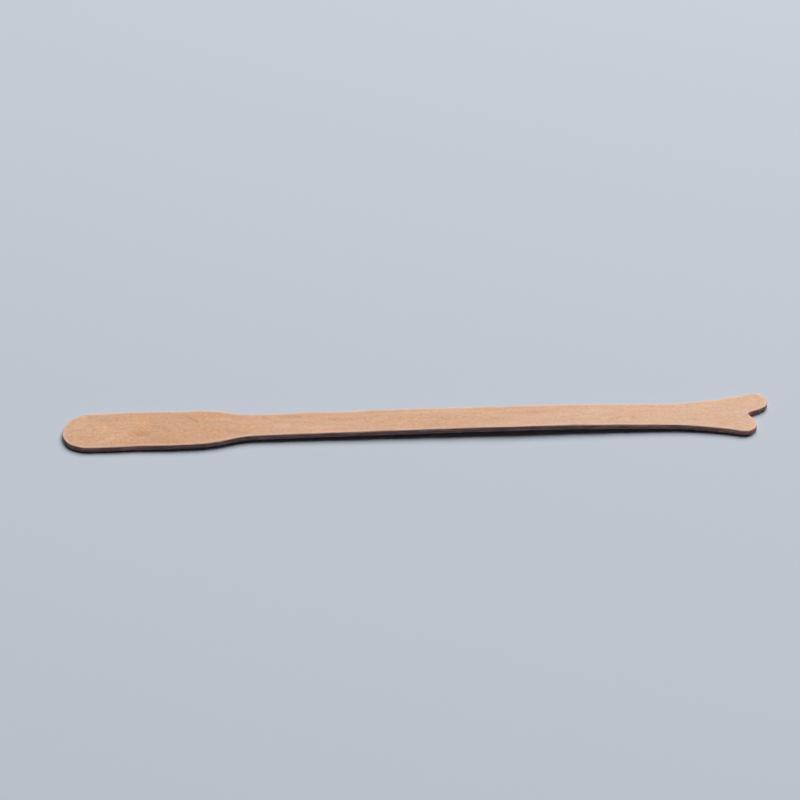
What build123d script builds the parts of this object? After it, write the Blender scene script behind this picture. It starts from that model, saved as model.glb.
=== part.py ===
from build123d import *
from math import acos, asin, atan2, degrees, hypot, sin
import os

# A cervical spatula: one flat piece of birch, punched out of thin veneer with a steel rule
# die and tumbled until its edges are soft. X runs along it from the blade to the forked end,
# Y across it and Z up. All sizes are in millimetres.
# It lies as it comes to rest, hollow side down: the wood has taken a slight set, so that it
# stands on the tip of the blade and on the fork, with its handle just off the table.

# The whole piece
overall_length = 180.0
thickness = 1.55
arris_radius = 0.2  # softening of the edge all round both faces

# The blade has parallel sides and a full round end, and narrows to the handle over a
# shoulder of two tangent arcs on each side
blade_width = 13.27
shoulder_outer_radius = 35.5
shoulder_inner_radius = 20.0
shoulder_end = 48.9  # from the tip of the blade to where the handle's straight edge starts

handle_width = 8.37

# The fork has a long and a short lobe. One large arc flares each side of the handle out to
# its lobe, and straight inner edges run from both lobes into the notch
flare_radius = 88.0
long_lobe_radius = 3.15
long_lobe_offset = 4.75  # from the centre line to the middle of the lobe
short_lobe_radius = 3.25
short_lobe_offset = 3.8
short_lobe_setback = 4.1  # from the long lobe's tip back to the short lobe's tip
notch_depth = 5.85  # from the long lobe's tip to the corner where the inner edges would meet
notch_radius = 0.4

# The set in the wood: two straight runs with one long bend between them
bow_rise = 1.25  # height at which the two runs would meet, under the wood
bow_place = 121.0  # from the tip of the blade to that meeting point
bow_radius = 750.0  # of the bend, on its hollow side


def step(outer_half_width, inner_half_width, outer_radius, inner_radius):
    """Turn in degrees, and length along X, of two tangent arcs from one half width to another."""
    turn = acos(1 - (outer_half_width - inner_half_width) / (outer_radius + inner_radius))
    return degrees(turn), (outer_radius + inner_radius) * sin(turn)


def side(lobe_radius, lobe_offset, lobe_tip):
    """The edge of one side, drawn at +Y, from the tip of the blade round its lobe to the notch."""
    shoulder_turn, shoulder_run = step(
        blade_width / 2, handle_width / 2, shoulder_outer_radius, shoulder_inner_radius
    )
    flare_turn, flare_run = step(
        lobe_offset + lobe_radius, handle_width / 2, lobe_radius, flare_radius
    )
    lobe_middle = lobe_tip - lobe_radius
    notch_corner = overall_length - notch_depth

    # the inner edge leaves the notch's corner as a tangent to the lobe
    from_corner = hypot(lobe_middle - notch_corner, lobe_offset)
    inner_edge_angle = degrees(
        atan2(lobe_offset, lobe_middle - notch_corner) - asin(lobe_radius / from_corner)
    )

    round_end = JernArc((0, 0), (0, 1), blade_width / 2, -90)
    blade = Line(round_end @ 1, (shoulder_end - shoulder_run, blade_width / 2))
    shoulder_out = JernArc(blade @ 1, blade % 1, shoulder_outer_radius, -shoulder_turn)
    shoulder_in = JernArc(shoulder_out @ 1, shoulder_out % 1, shoulder_inner_radius, shoulder_turn)
    handle = Line(shoulder_in @ 1, (lobe_middle - flare_run, handle_width / 2))
    flare = JernArc(handle @ 1, handle % 1, flare_radius, flare_turn)
    lobe = JernArc(flare @ 1, flare % 1, lobe_radius, inner_edge_angle - 180 - flare_turn)
    inner_edge = Line(lobe @ 1, (notch_corner, 0))
    return Curve() + [round_end, blade, shoulder_out, shoulder_in, handle, flare, lobe, inner_edge]


def blank():
    """The die's outline, seen from above: the long lobe is at +Y."""
    long_side = side(long_lobe_radius, long_lobe_offset, overall_length)
    short_side = side(short_lobe_radius, short_lobe_offset, overall_length - short_lobe_setback)
    outline = make_face(long_side + mirror(short_side, about=Plane.XZ))
    notch_corner = (overall_length - notch_depth, 0, 0)
    return fillet(outline.vertices().sort_by_distance(notch_corner)[0], notch_radius)


def bowed_sheet():
    """A sheet of veneer with the set of the finished piece, longer and wider than it."""
    overhang = blade_width
    rise_slope = bow_rise / bow_place
    fall_slope = bow_rise / (overall_length - bow_place)
    underside = FilletPolyline(
        (-overhang, -overhang * rise_slope),
        (bow_place, bow_rise),
        (overall_length + overhang, -overhang * fall_slope),
        radius=bow_radius,
    )
    section = make_face(offset(underside, amount=thickness, side=Side.LEFT))
    return extrude(Plane.XZ * section, amount=blade_width, both=True)


def spatula():
    """The blank cut from the bowed sheet, with its arrises softened."""
    piece = extrude(blank(), amount=bow_rise + 2 * thickness, both=True) & bowed_sheet()
    # the edges along Z are the tangent lines down the wall, and those along Y the ends of the bend
    arrises = piece.edges().filter_by(Axis.Z, reverse=True).filter_by(Axis.Y, reverse=True)
    return fillet(arrises, min(arris_radius, 0.45 * thickness))


piece = spatula()

# The origin is on the table, under the middle of the piece
extent = piece.bounding_box()
piece = Pos(-extent.center().X, -extent.center().Y, -extent.min.Z) * piece

os.makedirs("parts", exist_ok=True)
export_step(piece, "parts/cervical_spatula.step")
print("size", extent.size, "volume", piece.volume)
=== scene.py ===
import bpy
from math import cos, radians, sin
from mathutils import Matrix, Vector
from mathutils.kdtree import KDTree


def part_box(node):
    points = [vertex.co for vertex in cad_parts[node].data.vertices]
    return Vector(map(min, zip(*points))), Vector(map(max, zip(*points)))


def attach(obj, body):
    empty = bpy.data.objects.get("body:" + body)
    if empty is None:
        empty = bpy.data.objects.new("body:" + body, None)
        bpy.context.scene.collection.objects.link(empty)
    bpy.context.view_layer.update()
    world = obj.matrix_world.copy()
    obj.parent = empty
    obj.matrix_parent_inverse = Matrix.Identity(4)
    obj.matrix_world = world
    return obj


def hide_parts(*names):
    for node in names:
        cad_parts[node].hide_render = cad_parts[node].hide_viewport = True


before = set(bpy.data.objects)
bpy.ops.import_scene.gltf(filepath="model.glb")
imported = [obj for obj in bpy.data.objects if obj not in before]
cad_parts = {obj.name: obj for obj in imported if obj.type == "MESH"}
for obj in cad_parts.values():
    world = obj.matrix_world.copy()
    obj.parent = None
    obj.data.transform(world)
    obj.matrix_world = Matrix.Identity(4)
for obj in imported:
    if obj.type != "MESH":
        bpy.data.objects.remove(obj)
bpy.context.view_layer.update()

# The camera. It stands on the near side and looks down at the spatula, which lies across the
# view with its blade to the left, turned a little so that the fork is the farther end.

# Where things are on the spatula is given in millimetres, from the tip of the blade and from
# its centre line, with + on the far side, where the long lobe is.
MM = 0.001
WOOD = "cervical_spatula"
lowest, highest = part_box(WOOD)
centre_line = -0.425 * MM


def on_spatula(from_tip, from_centre_line):
    """The place on the table under a point of the spatula, in the frame's metres."""
    return Vector((lowest.x + from_tip * MM, centre_line + from_centre_line * MM, 0.0))


camera_height_angle = radians(40.0)
camera_turn = radians(2.35)
camera_distance = 0.600
camera_target = on_spatula(85.91, 10.79)
sensor_width = 36.0
picture_width = 800
pixels_per_mm = 3.8785  # at the target

level_step = cos(camera_height_angle) * camera_distance
bpy.ops.object.camera_add(
    location=camera_target
    + Vector(
        (
            -sin(camera_turn) * level_step,
            -cos(camera_turn) * level_step,
            sin(camera_height_angle) * camera_distance,
        )
    ),
    rotation=(radians(90) - camera_height_angle, 0, -camera_turn),
)
camera = bpy.context.object
camera.name = "camera"
camera.data.sensor_width = sensor_width
camera.data.lens = pixels_per_mm * camera_distance / MM * sensor_width / picture_width
bpy.context.scene.camera = camera


# The spatula. It is one strip of rotary-cut birch veneer, punched out with a steel rule die,
# which leaves slight steps and flats along its edge, and tumbled until its arrises are soft.

# The model's own mesh is copied and divided into an even skin of small faces, so that the
# marks that the die and handling left can be worked into it.
skin_cell = 0.22 * MM
weld_gap = 0.001 * MM

bpy.ops.object.select_all(action="DESELECT")
spatula = bpy.data.objects.new("spatula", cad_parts[WOOD].data.copy())
bpy.context.scene.collection.objects.link(spatula)
spatula.select_set(True)
bpy.context.view_layer.objects.active = spatula
bpy.ops.object.mode_set(mode="EDIT")
bpy.ops.mesh.select_all(action="SELECT")
bpy.ops.mesh.remove_doubles(threshold=weld_gap)
bpy.ops.object.mode_set(mode="OBJECT")
skin = spatula.modifiers.new("even skin", "REMESH")
skin.mode = "VOXEL"
skin.voxel_size = skin_cell
bpy.ops.object.modifier_apply(modifier=skin.name)

# Each mark is a place on the edge, how far the edge stands out there (- for in), in
# millimetres, and how far the mark reaches along it
FAR, NEAR = 1, -1
edge_marks = (
    (FAR, 4.0, -0.12, 2.4),
    (FAR, 17.0, 0.20, 6.0),
    (FAR, 29.5, -0.22, 6.0),
    (FAR, 49.0, 0.12, 4.0),
    (FAR, 62.0, 0.26, 6.5),
    (FAR, 79.0, 0.22, 6.0),
    (FAR, 89.0, 0.20, 7.0),
    (FAR, 103.0, -0.06, 3.0),
    (FAR, 111.0, -0.22, 2.2),
    (FAR, 128.0, 0.10, 10.0),
    (FAR, 155.0, -0.14, 5.0),
    (FAR, 167.0, -0.08, 1.6),
    (FAR, 169.5, 0.12, 3.0),
    (NEAR, 4.0, -0.15, 2.6),
    (NEAR, 19.0, -0.14, 4.5),
    (NEAR, 27.0, 0.10, 4.0),
    (NEAR, 60.0, -0.05, 5.0),
    (NEAR, 66.5, -0.05, 3.5),
    (NEAR, 81.0, -0.09, 5.0),
    (NEAR, 93.0, -0.08, 5.0),
    (NEAR, 102.5, -0.06, 6.0),
    (NEAR, 114.0, 0.08, 6.0),
    (NEAR, 130.0, -0.13, 5.5),
    (NEAR, 141.0, -0.08, 4.0),
)
# The short lobe was punched a little long, and the notch a little wide. Each of these marks is
# a place from the tip and from the centre line, its shift along and across, and its reach
fork_marks = (
    (175.7, -4.9, 0.06, 0.0, 2.2),
    (175.4, 0.8, 0.0, 0.10, 1.0),
    (174.7, -1.3, -0.04, -0.06, 0.8),
)
# The whole handle is bent a hair's breadth sideways, towards the far side
bend_place = 97.0
bend_shift = 0.12
bend_reach = 50.0

# A mark is made by shifting the points of the wall that are this near to its place
edge_hold = 0.15 * MM
fork_hold = 0.4 * MM
bend_hold = 0.3 * MM
side_walls = 3 * MM  # from the centre line, and the walls of both sides lie farther out
wall_turn = 0.8  # the upright part of the normal, which is less on the wall


def work_edge(places, shift, reach, falloff="SMOOTH"):
    """Shifts a short piece of the punched edge, and its surroundings less with their distance."""
    bpy.ops.object.mode_set(mode="EDIT")
    bpy.ops.mesh.select_all(action="DESELECT")
    bpy.ops.object.mode_set(mode="OBJECT")
    for corner in spatula.data.vertices:
        corner.select = places(corner.co) and abs(corner.normal.z) < wall_turn
    bpy.ops.object.mode_set(mode="EDIT")
    bpy.ops.transform.translate(
        value=shift,
        use_proportional_edit=True,
        proportional_edit_falloff=falloff,
        proportional_size=reach * MM,
    )
    bpy.ops.object.mode_set(mode="OBJECT")


for hand, from_tip, stands_out, reach in edge_marks:
    middle = on_spatula(from_tip, 0)
    work_edge(
        lambda co: abs(co.x - middle.x) < edge_hold and (co.y - middle.y) * hand > side_walls,
        (0, hand * stands_out * MM, 0),
        reach,
    )
for from_tip, from_centre_line, forward, sideways, reach in fork_marks:
    middle = on_spatula(from_tip, from_centre_line)
    work_edge(
        lambda co: (co.xy - middle.xy).length < fork_hold,
        (forward * MM, sideways * MM, 0),
        reach,
    )
middle = on_spatula(bend_place, 0)
work_edge(
    lambda co: abs(co.x - middle.x) < bend_hold, (0, bend_shift * MM, 0), bend_reach, "SPHERE"
)

# Torn fibres and small flats roughen the wall alone: their size and depth in millimetres
punched = spatula.vertex_groups.new(name="punched edge")
for corner in spatula.data.vertices:
    punched.add([corner.index], 1 - abs(corner.normal.z), "REPLACE")
for name, size, depth in (("tears", 0.5, 0.05), ("flats", 3.0, 0.05)):
    pattern = bpy.data.textures.new(name, "CLOUDS")
    pattern.noise_scale = size * MM
    pattern.noise_depth = 1
    tear = spatula.modifiers.new(name, "DISPLACE")
    tear.texture = pattern
    tear.texture_coords = "LOCAL"
    tear.vertex_group = punched.name
    tear.mid_level = 0.5
    tear.strength = depth * MM
    bpy.ops.object.modifier_apply(modifier=tear.name)
bpy.ops.object.shade_smooth()
# the die's own size is the most that any of it reaches
for corner in spatula.data.vertices:
    corner.co = [min(max(c, a), b) for c, a, b in zip(corner.co, lowest, highest)]

# How near each point is to the punched edge: 1 at the arris and 0 from the rim's width in
rim_width = 0.85 * MM
arris_turn = 0.7  # the upright part of the normal, which is less on the edge

on_edge = [corner for corner in spatula.data.vertices if abs(corner.normal.z) < arris_turn]
edge_tree = KDTree(len(on_edge))
for number, corner in enumerate(on_edge):
    edge_tree.insert(corner.co, number)
edge_tree.balance()
rim = spatula.data.attributes.new("rim", "FLOAT", "POINT")
for corner in spatula.data.vertices:
    rim.data[corner.index].value = max(0.0, 1 - edge_tree.find(corner.co)[2] / rim_width)


# The birch, which is the spatula's bare wood. Its fibres run along it, with fine streaks, short
# pores and a soft mottle on the faces. The rim is paler, partly rubbed by tumbling and partly a
# painted highlight, and a painted sheen pales the faces towards the fork. The punched edge is
# darker and rough, because the die crushed its fibres, and darker and greyer towards the bottom,
# with paler stretches that are partly painted light where it turns towards the lamp at the fork.
def add_node(tree, kind, inputs, **settings):
    """A shader node; inputs gives a socket a value, or the output to link to it."""
    made = tree.nodes.new("ShaderNode" + kind)
    for name, choice in settings.items():
        setattr(made, name, choice)
    for socket, value in inputs.items():
        if isinstance(value, bpy.types.NodeSocket):
            tree.links.new(value, made.inputs[socket])
        else:
            made.inputs[socket].default_value = value
    return made


def maths(tree, operation, *values):
    """The result of a Math node."""
    return add_node(tree, "Math", dict(enumerate(values)), operation=operation).outputs[0]


def vector_maths(tree, operation, *values):
    """The vector that a Vector Math node gives."""
    return add_node(tree, "VectorMath", dict(enumerate(values)), operation=operation).outputs[0]


def distance_out(tree, value):
    """The length of a vector."""
    return add_node(tree, "VectorMath", {0: value}, operation="LENGTH").outputs["Value"]


def mix_colours(tree, factor, first, second, blend_type="MIX"):
    """The colour between two colours."""
    inputs = {0: factor, 6: first, 7: second}
    return add_node(tree, "Mix", inputs, data_type="RGBA", blend_type=blend_type).outputs[2]


def ease(tree, value, start, end, low=0.0, high=1.0):
    """A value that goes smoothly from low to high while the one given goes from start to end."""
    inputs = {"Value": value, "From Min": start, "From Max": end, "To Min": low, "To Max": high}
    return add_node(tree, "MapRange", inputs, interpolation_type="SMOOTHSTEP").outputs[0]


def new_group(name, inputs, outputs):
    """An empty node group with its sockets, and the nodes that they appear on inside it."""
    tree = bpy.data.node_groups.new(name, "ShaderNodeTree")
    for way, sockets in (("INPUT", inputs), ("OUTPUT", outputs)):
        for socket, kind in sockets.items():
            tree.interface.new_socket(socket, in_out=way, socket_type="NodeSocket" + kind)
    return tree, tree.nodes.new("NodeGroupInput").outputs, tree.nodes.new("NodeGroupOutput").inputs


# Streaks: a value about 0.5 that varies slowly along the fibres and quickly across them. Its
# place, length and width are in millimetres.
streaks, given, result = new_group(
    "streaks",
    {"Place": "Vector", "Length": "Float", "Width": "Float", "Detail": "Float"},
    {"Value": "Float"},
)
stretch = add_node(
    streaks, "CombineXYZ", {0: given["Length"], 1: given["Width"], 2: given["Width"]}
).outputs[0]
drawn_out = vector_maths(streaks, "DIVIDE", given["Place"], stretch)
noise = add_node(
    streaks,
    "TexNoise",
    {"Vector": drawn_out, "Scale": 1.0, "Detail": given["Detail"], "Roughness": 0.55},
)
streaks.links.new(noise.outputs["Fac"], result["Value"])

# Stain: 1 inside a soft-edged patch and 0 away from it. It may drift across on its way along.
stain_fade = (1.25, 0.25)  # where it ends and where it is full, as a share of its half size
stain, given, result = new_group(
    "stain",
    {"Place": "Vector", "Middle": "Vector", "Half Size": "Vector", "Drift": "Float"},
    {"Mask": "Float"},
)
away = vector_maths(stain, "SUBTRACT", given["Place"], given["Middle"])
ahead = add_node(stain, "SeparateXYZ", {0: away}).outputs[0]
drifted = add_node(stain, "CombineXYZ", {1: maths(stain, "MULTIPLY", ahead, given["Drift"])})
away = vector_maths(stain, "SUBTRACT", away, drifted.outputs[0])
away = distance_out(stain, vector_maths(stain, "DIVIDE", away, given["Half Size"]))
stain.links.new(ease(stain, away, *stain_fade), result["Mask"])

# the colours of the wood, and of the light painted on it, as red, green, blue and alpha
sapwood = (0.655, 0.375, 0.222, 1)
brown_figure = (0.622, 0.318, 0.155, 1)
pale_figure = (0.675, 0.430, 0.310, 1)
# a painted sheen, added to the faces more and more towards the fork
painted_sheen_to_fork = (0.062, 0.072, 0.079, 1)
# the rim: wood rubbed pale by tumbling, with a painted highlight along the arrises
rubbed_rim_and_highlight = (0.81, 0.555, 0.455, 1)
crushed_upper = (0.605, 0.330, 0.200, 1)
# the edge is darker and greyer towards the bottom
darker_lower_edge = (0.450, 0.335, 0.245, 1)
torn_fibre = (0.700, 0.420, 0.290, 1)
# the lighter edge: paler wood, and painted light at the fork where its walls turn to the lamp
paler_and_lit_edge = (0.97, 0.51, 0.29, 1)

# Marks in the figure of the upper face, and a painted shade in the notch: their place from the tip
# and from the centre line, half their length and width, how far they drift across for each
# millimetre along, and how much darker (+) or paler (-) the wood is there
figure_marks = (
    (0.5, -1.9, 0.6, 0.5, 0.00, 0.220),  # bruise at the tip
    (4.2, 2.7, 2.8, 4.0, 0.10, -0.075),  # pale tip
    (10.2, 1.0, 2.7, 1.8, -0.40, -0.108),  # pale cloud behind the tip
    (7.4, -1.4, 1.3, 1.3, -0.50, 0.080),  # brown spot beside it
    (13.2, -3.1, 4.0, 1.3, 0.30, -0.140),  # pale streak on the near side
    (11.8, 4.3, 4.5, 1.6, 0.00, 0.054),  # brown cloud on the far side
    (19.0, 3.1, 3.6, 2.1, 0.00, -0.098),  # pale patch in the middle of the blade
    (20.7, -2.0, 2.6, 1.3, 0.00, 0.120),  # dark patch beside it
    (24.8, -3.8, 4.0, 1.4, 0.00, 0.078),  # its tail
    (20.0, -5.9, 14.0, 0.9, 0.00, 0.050),  # browner near side of the blade
    (27.8, -5.2, 4.2, 1.2, 0.00, 0.095),  # its darkest run
    (25.2, 0.2, 4.0, 1.2, -0.50, 0.075),  # slanting streak
    (32.6, 3.2, 2.8, 0.7, -0.70, 0.090),  # second slanting streak
    (39.2, 2.9, 5.4, 1.1, -0.05, -0.095),  # pale run on the shoulder
    (43.8, -2.3, 5.8, 0.8, -0.25, 0.085),  # dark run into the handle
    (49.7, 0.1, 3.6, 1.4, 0.00, -0.050),  # pale cloud beside its end
    (55.6, -0.5, 2.8, 1.3, -0.10, -0.109),  # pale patch at the handle's start
    (57.6, 2.8, 3.6, 1.1, 0.00, 0.110),  # dark streak on the far side
    (65.6, -1.7, 6.5, 0.8, 0.00, -0.080),  # pale run on the near side
    (69.6, 0.9, 2.6, 1.0, -0.20, 0.105),  # dark dash
    (74.0, 1.0, 2.2, 0.7, 0.00, 0.072),  # second dark dash
    (83.8, -1.9, 1.6, 0.7, 0.00, 0.060),  # third dark dash
    (84.7, 0.1, 2.2, 1.1, 0.10, 0.055),  # and one above it
    (94.2, -2.4, 3.4, 0.9, 0.10, 0.072),  # dark band, lower part
    (97.1, 0.2, 3.8, 1.2, 0.00, 0.065),  # dark band, upper part
    (93.7, 2.8, 12.5, 0.8, 0.00, -0.100),  # pale line along the far edge
    (110.0, -0.9, 4.5, 0.9, 0.00, 0.065),  # long dark streak
    (119.6, 1.3, 4.8, 0.8, 0.10, 0.080),  # dark streak at the far edge
    (125.6, 0.0, 5.5, 0.6, 0.10, -0.058),  # pale line
    (135.3, 2.0, 2.6, 1.0, 0.30, -0.094),  # pale patch at the far edge
    (135.0, 0.0, 3.4, 1.0, 0.17, -0.060),  # its lower part
    (140.0, -1.8, 3.4, 1.0, 0.55, 0.094),  # slanting knot shadow
    (141.3, -3.0, 1.8, 0.8, 0.10, 0.085),  # its foot at the near edge
    (144.7, -1.1, 1.1, 1.0, 0.00, 0.072),  # its spot
    (159.4, 1.3, 4.8, 1.4, -0.08, -0.060),  # pale run before the fork
    (160.4, -2.1, 1.8, 0.9, -0.20, 0.109),  # dark dot on the fork
    (167.4, -1.6, 5.0, 1.8, -0.05, 0.035),  # brown cloud before the notch
    (165.1, 3.7, 4.0, 1.2, 0.20, -0.065),  # pale cloud on the long lobe
    (176.6, 4.8, 3.0, 1.6, 0.10, -0.045),  # its pale tip
    (174.0, -0.9, 0.5, 0.5, 0.00, 0.220),  # painted shade in the corner of the notch
)
figure_height = 1.5  # of the upper face over the table, about
upper_turn = (0.2, 0.7)  # the upright part of the normal, where the upper face starts and is full
# Stretches of the spatula where the wood is a little browner (+) or pinker (-): their place,
# half their length, and by how much
brown_stretches = (
    (4.0, 11.0, -0.12),
    (31.0, 18.0, 0.20),
    (84.0, 12.0, 0.06),
    (102.0, 18.0, 0.15),
)
# Lighter stretches along the punched edge, partly paler wood and partly painted light where the
# walls turn towards the lamp at the fork: their place, half their length, and how much lighter
# they are
paler_and_lit_edge_stretches = (
    (10.0, 16.0, 0.24),
    (141.0, 12.0, 0.38),
    (170.5, 12.0, 0.50),
    (171.5, 3.5, 0.35),
)
# half the size of a patch that goes through the wood, and of one that goes right across it too
right_through = 50.0
right_across = 500.0

# The set of the wood: its underside rises to this height, at this place from the tip
bow_rise = 1.25
bow_place = 121.0
overall_length = 180.0

# How far the fibres wander to and fro, and where the flecks of the blade give way to the streaks
# of the handle, and to what share
wander_width = 5.0
flecks_to_threads = (28.0, 64.0)
thread_share = 0.38
# how much the grain, the mottle and the pores darken the wood, and the figure browns it
grain_contrast = 0.57
mottle_contrast = 0.08
pore_contrast = 0.05
pore_onset = (0.62, 0.74)  # of their streaks, where a pore starts and where it is full
figure_contrast = 0.90
average_tone = 0.585
sheen_from = -20.0  # where the painted sheen starts, which grows all the way to the fork's end
# what the shade and the turn of the hue do to red, green and blue
darker_is_browner = (0.76, 1.04, 1.28)
hue_turn = (0.155, -0.040, -0.375)
no_change = (1.0, 1.0, 1.0)
# the hue varies in clouds on the blade, and more, in streaks, past this stretch of its shoulder
shoulder = (34.0, 54.0)
handle_hue_contrast = 1.3
rim_strength = 0.9

# On the punched edge: the upright part of the normal where it starts and where it is full, the
# heights between which its darker, greyer lower part gives way to the upper, the contrast of its
# fibres, which grows towards the fork, and where its fibres and patches turn pale
edge_turn = (0.68, 0.35)
lower_to_upper_edge = (0.4, 1.1)
edge_contrast = 2.1
fork_edge_contrast = 3.2
fork_edge = (60.0, 130.0)
pale_fibre_onset = (0.48, 0.68)
pale_patch_onset = (0.40, 0.62)

face_roughness = 0.56
grain_roughness = 0.16
edge_roughness = 0.20
wood_gloss = 0.35
relief_depth = 0.02 * MM
grain_relief = 0.5
pore_relief = -0.6
edge_relief = 4.0

birch = bpy.data.materials.new("birch")
birch.use_nodes = True
wood = birch.node_tree
shader = wood.nodes["Principled BSDF"]
coordinates = add_node(wood, "TexCoord", {})
tip = on_spatula(0, 0)
place = add_node(
    wood,
    "Mapping",
    {"Vector": coordinates.outputs["Object"], "Location": -tip / MM, "Scale": [1 / MM] * 3},
    vector_type="POINT",
).outputs[0]
apart = add_node(wood, "SeparateXYZ", {0: place}).outputs
along, up = apart["X"], apart["Z"]
facing = add_node(wood, "SeparateXYZ", {0: coordinates.outputs["Normal"]}).outputs[2]


def wood_streaks(length, width, detail, at=place):
    """Streaks of this length and width in the wood."""
    inputs = {"Place": at, "Length": length, "Width": width, "Detail": detail}
    return add_node(wood, "Group", inputs, node_tree=streaks).outputs[0]


def wood_patch(middle, half_size, drift=0.0):
    """A soft patch of the wood's surface."""
    inputs = {"Place": place, "Middle": middle, "Half Size": half_size, "Drift": drift}
    return add_node(wood, "Group", inputs, node_tree=stain).outputs[0]


def away_from_middle(value):
    """How far a value about 0.5 is from 0.5."""
    return maths(wood, "SUBTRACT", value, 0.5)


# the fibres wander a little to each side on their way along the spatula
wander = wood_streaks(26.0, 9.0, 1.0)
wander = maths(wood, "MULTIPLY_ADD", wander, wander_width, -wander_width / 2)
sway = add_node(wood, "CombineXYZ", {1: wander}).outputs[0]
grain_place = vector_maths(wood, "ADD", place, sway)

# the blade is cut across the rings, so its figure is flecked, and the handle's is streaked
flecks = wood_streaks(0.70, 0.45, 1.0, grain_place)
threads = wood_streaks(1.6, 0.32, 1.0, grain_place)
on_handle = ease(wood, along, *flecks_to_threads, 0.0, thread_share)
fine = add_node(wood, "Mix", {0: on_handle, 2: flecks, 3: threads}).outputs[0]
broad = wood_streaks(11.0, 1.1, 2.0, grain_place)
mottle = wood_streaks(2.8, 1.5, 2.0)
pores = ease(wood, wood_streaks(1.3, 0.14, 1.0, grain_place), *pore_onset)

# how light the wood is, about 1
upper = ease(wood, facing, *upper_turn)
shade = maths(wood, "MULTIPLY_ADD", away_from_middle(fine), -grain_contrast, 1.0)
shade = maths(wood, "MULTIPLY_ADD", away_from_middle(mottle), -mottle_contrast, shade)
shade = maths(wood, "MULTIPLY_ADD", pores, -pore_contrast, shade)
for from_tip, from_centre_line, half_length, half_width, drift, darker in figure_marks:
    middle = (from_tip, from_centre_line, figure_height)
    patch = wood_patch(middle, (half_length, half_width, right_through), drift)
    shade = maths(wood, "MULTIPLY_ADD", maths(wood, "MULTIPLY", patch, upper), -darker, shade)

# how brown its hue is: 0.5 is plain sapwood
lowest_tone = average_tone - figure_contrast / 2
tone = maths(wood, "MULTIPLY_ADD", broad, figure_contrast, lowest_tone)
for from_tip, half_length, browner in brown_stretches:
    patch = wood_patch((from_tip, 0.0, 0.0), (half_length, right_across, right_across))
    tone = maths(wood, "MULTIPLY_ADD", patch, browner, tone)
tinted = add_node(wood, "ValToRGB", {"Fac": tone})
ramp = tinted.color_ramp
ramp.elements[0].position, ramp.elements[0].color = 0.0, pale_figure
ramp.elements[1].position, ramp.elements[1].color = 1.0, brown_figure
plain = ramp.elements.new(0.5)
plain.color = sapwood
# painted sheen: the faces are painted paler towards the fork's end
sheen_towards_fork = ease(wood, along, sheen_from, overall_length)
face_colour = mix_colours(wood, sheen_towards_fork, tinted.outputs["Color"], painted_sheen_to_fork, "ADD")

# the hue drifts a little by itself, towards orange in one place and pink in the next
hue_clouds = wood_streaks(6.0, 4.0, 2.0)
hue_threads = wood_streaks(10.0, 1.4, 3.0)
past_shoulder = ease(wood, along, *shoulder)
turned = add_node(wood, "Mix", {0: past_shoulder, 2: hue_clouds, 3: hue_threads}).outputs[0]
hue_contrast = ease(wood, along, *shoulder, 1.0, handle_hue_contrast)
turned = maths(wood, "MULTIPLY", away_from_middle(turned), hue_contrast)
hue = vector_maths(wood, "MULTIPLY_ADD", turned, hue_turn, no_change)
face_colour = mix_colours(wood, 1.0, face_colour, hue, "MULTIPLY")
# darker wood is also browner
shade = maths(wood, "SUBTRACT", shade, 1.0)
shade = vector_maths(wood, "MULTIPLY_ADD", shade, darker_is_browner, no_change)
face_colour = mix_colours(wood, 1.0, face_colour, shade, "MULTIPLY")
# and the rim is paler: rubbed by tumbling, with a painted highlight
rim_wear_and_highlight = add_node(wood, "Attribute", {}, attribute_name="rim").outputs["Fac"]
rim_wear_and_highlight = maths(wood, "MULTIPLY", rim_wear_and_highlight, rim_strength)
face_colour = mix_colours(wood, rim_wear_and_highlight, face_colour, rubbed_rim_and_highlight)

# the punched edge, by how far the surface turns away from the faces, and its colour, by how far
# up through the thickness it is
edge = ease(wood, maths(wood, "ABSOLUTE", facing), *edge_turn)
edge_fibres = wood_streaks(6.0, 0.45, 3.0)
edge_patches = wood_streaks(7.0, 2.5, 2.0)
from_fork_end = maths(wood, "SUBTRACT", overall_length, along)
rising = maths(wood, "MULTIPLY", along, bow_rise / bow_place)
falling = maths(wood, "MULTIPLY", from_fork_end, bow_rise / (overall_length - bow_place))
through = maths(wood, "SUBTRACT", up, maths(wood, "MINIMUM", rising, falling))
through = ease(wood, through, *lower_to_upper_edge)
edge_colour = mix_colours(wood, through, darker_lower_edge, crushed_upper)
pale_fibres = ease(wood, edge_fibres, *pale_fibre_onset)
pale_patches = ease(wood, edge_patches, *pale_patch_onset)
pale_fibres = maths(wood, "MULTIPLY", pale_fibres, pale_patches)
edge_colour = mix_colours(wood, pale_fibres, edge_colour, torn_fibre)
# the edge is lightened in stretches: paler wood, and painted light at the fork's walls
for from_tip, half_length, lighter in paler_and_lit_edge_stretches:
    paling_and_light = wood_patch((from_tip, 0.0, 0.0), (half_length, right_across, right_across))
    paling_and_light = maths(wood, "MULTIPLY", paling_and_light, lighter)
    edge_colour = mix_colours(wood, paling_and_light, edge_colour, paler_and_lit_edge)
edge_shade = maths(
    wood,
    "MULTIPLY_ADD",
    away_from_middle(edge_fibres),
    ease(wood, along, *fork_edge, edge_contrast, fork_edge_contrast),
    1.0,
)
edge_colour = mix_colours(wood, 1.0, edge_colour, edge_shade, "MULTIPLY")
wood.links.new(mix_colours(wood, edge, face_colour, edge_colour), shader.inputs["Base Color"])

roughness = maths(wood, "MULTIPLY_ADD", fine, grain_roughness, face_roughness)
roughness = maths(wood, "MULTIPLY_ADD", edge, edge_roughness, roughness)
wood.links.new(roughness, shader.inputs["Roughness"])

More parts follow.
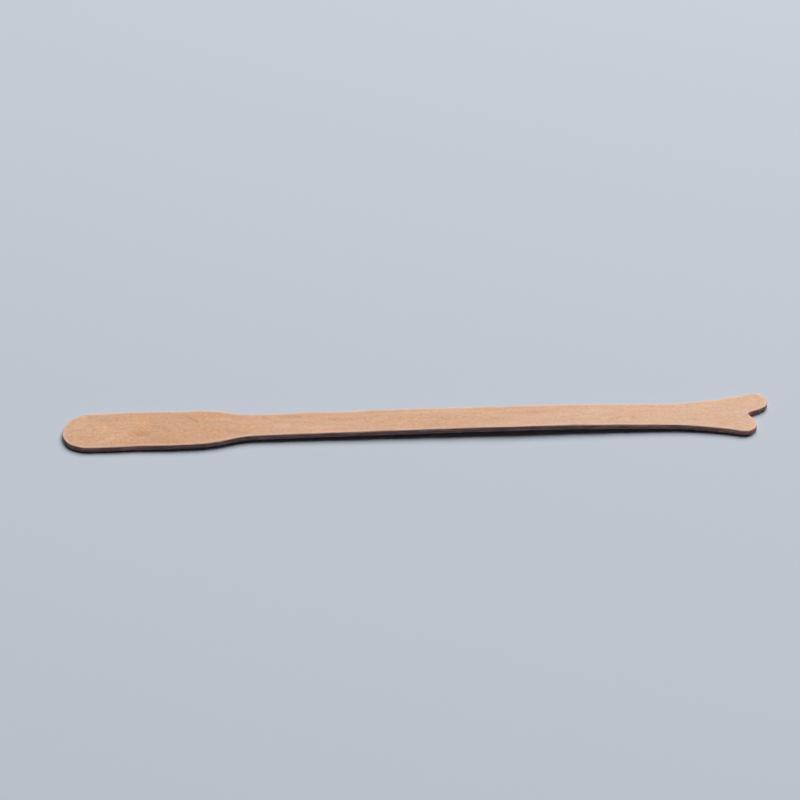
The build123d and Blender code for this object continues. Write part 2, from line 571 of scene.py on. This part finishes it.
sunk = maths(wood, "MULTIPLY", pores, pore_relief)
relief = maths(wood, "MULTIPLY_ADD", fine, grain_relief, sunk)
torn = maths(wood, "MULTIPLY", edge_fibres, edge)
relief = maths(wood, "MULTIPLY_ADD", torn, edge_relief, relief)
bump = add_node(wood, "Bump", {"Strength": 1.0, "Distance": relief_depth, "Height": relief})
wood.links.new(bump.outputs[0], shader.inputs["Normal"])
shader.inputs["Specular IOR Level"].default_value = wood_gloss

spatula.data.materials.clear()
spatula.data.materials.append(birch)

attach(spatula, "root")
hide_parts(WOOD)


# The surface that it lies on: a plain pale sheet, a little cool, which runs on into the
# background without an edge.
floor_size = 9
floor_colour = (0.560, 0.610, 0.680, 1)
background = (0.510, 0.555, 0.620, 1)
# it throws less light back on the wood than it shows, as a deep-coloured sheet does
floor_bounce = (0.260, 0.262, 0.425, 1)
# it fades to the background's colour between these distances from the middle, in metres
fade = (0.28, 1.0)
sheet_roughness = 0.9
sheet_gloss = 0.1


def seen_directly(tree):
    """1 where something is seen, itself, mirrored or through glass, and 0 where it lights."""
    ray = add_node(tree, "LightPath", {}).outputs
    mirrored = maths(tree, "MAXIMUM", ray["Is Glossy Ray"], ray["Is Transmission Ray"])
    return maths(tree, "MAXIMUM", ray["Is Camera Ray"], mirrored)


bpy.ops.mesh.primitive_plane_add(size=floor_size)
floor = bpy.context.object
floor.name = "floor"
sheet = bpy.data.materials.new("pale sheet")
sheet.use_nodes = True
paper = sheet.node_tree
directly = seen_directly(paper)
sheet_shader = paper.nodes["Principled BSDF"]
sheet_colour = mix_colours(paper, directly, floor_bounce, floor_colour)
paper.links.new(sheet_colour, sheet_shader.inputs["Base Color"])
sheet_shader.inputs["Roughness"].default_value = sheet_roughness
sheet_shader.inputs["Specular IOR Level"].default_value = sheet_gloss
spread = distance_out(paper, add_node(paper, "TexCoord", {}).outputs["Object"])
faded = maths(paper, "MULTIPLY", ease(paper, spread, *fade), directly)
haze = add_node(paper, "Emission", {"Color": background, "Strength": 1.0})
joined = add_node(paper, "MixShader", {0: faded, 1: sheet_shader.outputs[0], 2: haze.outputs[0]})
paper.links.new(joined.outputs[0], paper.nodes["Material Output"].inputs["Surface"])
floor.data.materials.append(sheet)


# The light: one wide soft lamp, above the spatula, a little behind it and to its right, so that
# its near edge is in shade, and next to nothing from elsewhere.
lamp_lean = radians(33.0)
lamp_turn = radians(22.0)
lamp_distance = 2.6
lamp_size = 2.1
lamp_power = 87.5
room_light = 0.03

bpy.ops.object.light_add(
    type="AREA",
    location=(
        sin(lamp_turn) * sin(lamp_lean) * lamp_distance,
        cos(lamp_turn) * sin(lamp_lean) * lamp_distance,
        cos(lamp_lean) * lamp_distance,
    ),
    rotation=(-lamp_lean, 0, -lamp_turn),
)
lamp = bpy.context.object
lamp.name = "wide lamp"
lamp.data.shape = "SQUARE"
lamp.data.size = lamp_size
lamp.data.energy = lamp_power
lamp.visible_camera = False

room = bpy.data.worlds.new("room")
bpy.context.scene.world = room
room.use_nodes = True
sky = room.node_tree
glow = sky.nodes["Background"]
glow.inputs["Color"].default_value = background
brightness = maths(sky, "MULTIPLY_ADD", seen_directly(sky), 1.0 - room_light, room_light)
sky.links.new(brightness, glow.inputs["Strength"])

bpy.context.scene.view_settings.view_transform = "Standard"
